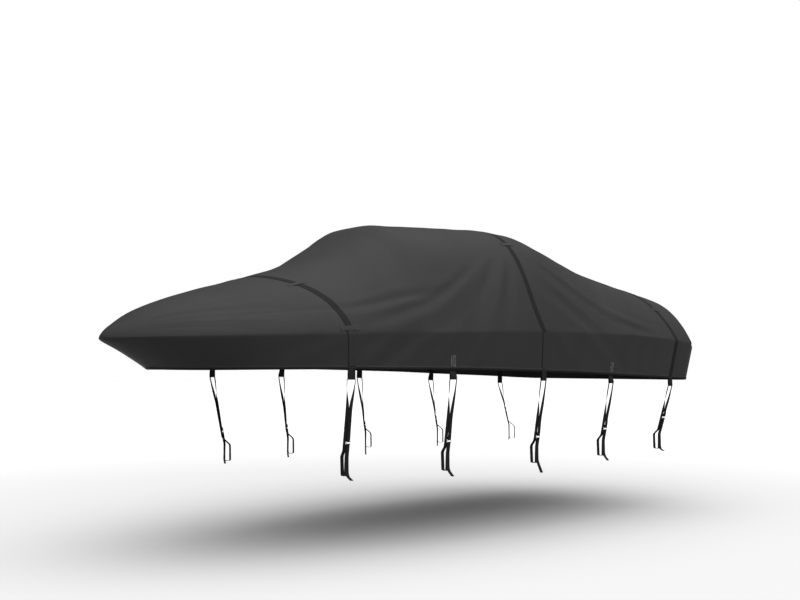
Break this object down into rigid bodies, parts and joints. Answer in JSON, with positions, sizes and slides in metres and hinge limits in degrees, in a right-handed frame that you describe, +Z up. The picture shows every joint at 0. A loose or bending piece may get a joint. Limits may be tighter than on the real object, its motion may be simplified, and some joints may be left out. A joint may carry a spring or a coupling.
{
  "type": "boat cover",
  "caption": "Fitted boat cover: a hollow draped shell of coated cloth with webbing cross-straps, belt loops, hanging tabs and buckled tie-down straps.",
  "frame": {"origin": "point on the inner face of the cover's top, under its highest part and half way between bow tip and stern edge, where the cover is carried", "axes": "+X towards the stern, -Y to port, +Z up; the bow points along -X"},
  "size_m": [5.5, 2.3149, 1.9885],
  "materials": {
    "coated_polyester": "satin",
    "black_webbing": "matte",
    "nickel_plated_steel": "satin"
  },
  "bodies": {
    "root": {"cover_cloth": "coated_polyester", "strap_bow": "black_webbing", "strap_mid": "black_webbing", "strap_aft": "black_webbing", "keeper_bow_upper_port": "coated_polyester", "keeper_bow_upper_starboard": "coated_polyester", "keeper_bow_lower_port": "coated_polyester", "keeper_bow_lower_starboard": "coated_polyester", "keeper_mid_port": "coated_polyester", "keeper_mid_starboard": "coated_polyester", "keeper_aft_port": "coated_polyester", "keeper_aft_starboard": "coated_polyester", "tab_1_port": "black_webbing", "tie_1_port": "black_webbing", "buckle_1_port": "nickel_plated_steel", "tab_1_starboard": "black_webbing", "tie_1_starboard": "black_webbing", "buckle_1_starboard": "nickel_plated_steel", "tab_2_port": "black_webbing", "tie_2_port": "black_webbing", "buckle_2_port": "nickel_plated_steel", "tab_2_starboard": "black_webbing", "tie_2_starboard": "black_webbing", "buckle_2_starboard": "nickel_plated_steel", "tab_3_port": "black_webbing", "tie_3_port": "black_webbing", "buckle_3_port": "nickel_plated_steel", "tab_3_starboard": "black_webbing", "tie_3_starboard": "black_webbing", "buckle_3_starboard": "nickel_plated_steel", "tab_4_port": "black_webbing", "tie_4_port": "black_webbing", "buckle_4_port": "nickel_plated_steel", "tab_4_starboard": "black_webbing", "tie_4_starboard": "black_webbing", "buckle_4_starboard": "nickel_plated_steel", "tab_5_port": "black_webbing", "tie_5_port": "black_webbing", "buckle_5_port": "nickel_plated_steel", "tab_5_starboard": "black_webbing", "tie_5_starboard": "black_webbing", "buckle_5_starboard": "nickel_plated_steel"}
  },
  "joints": []
}
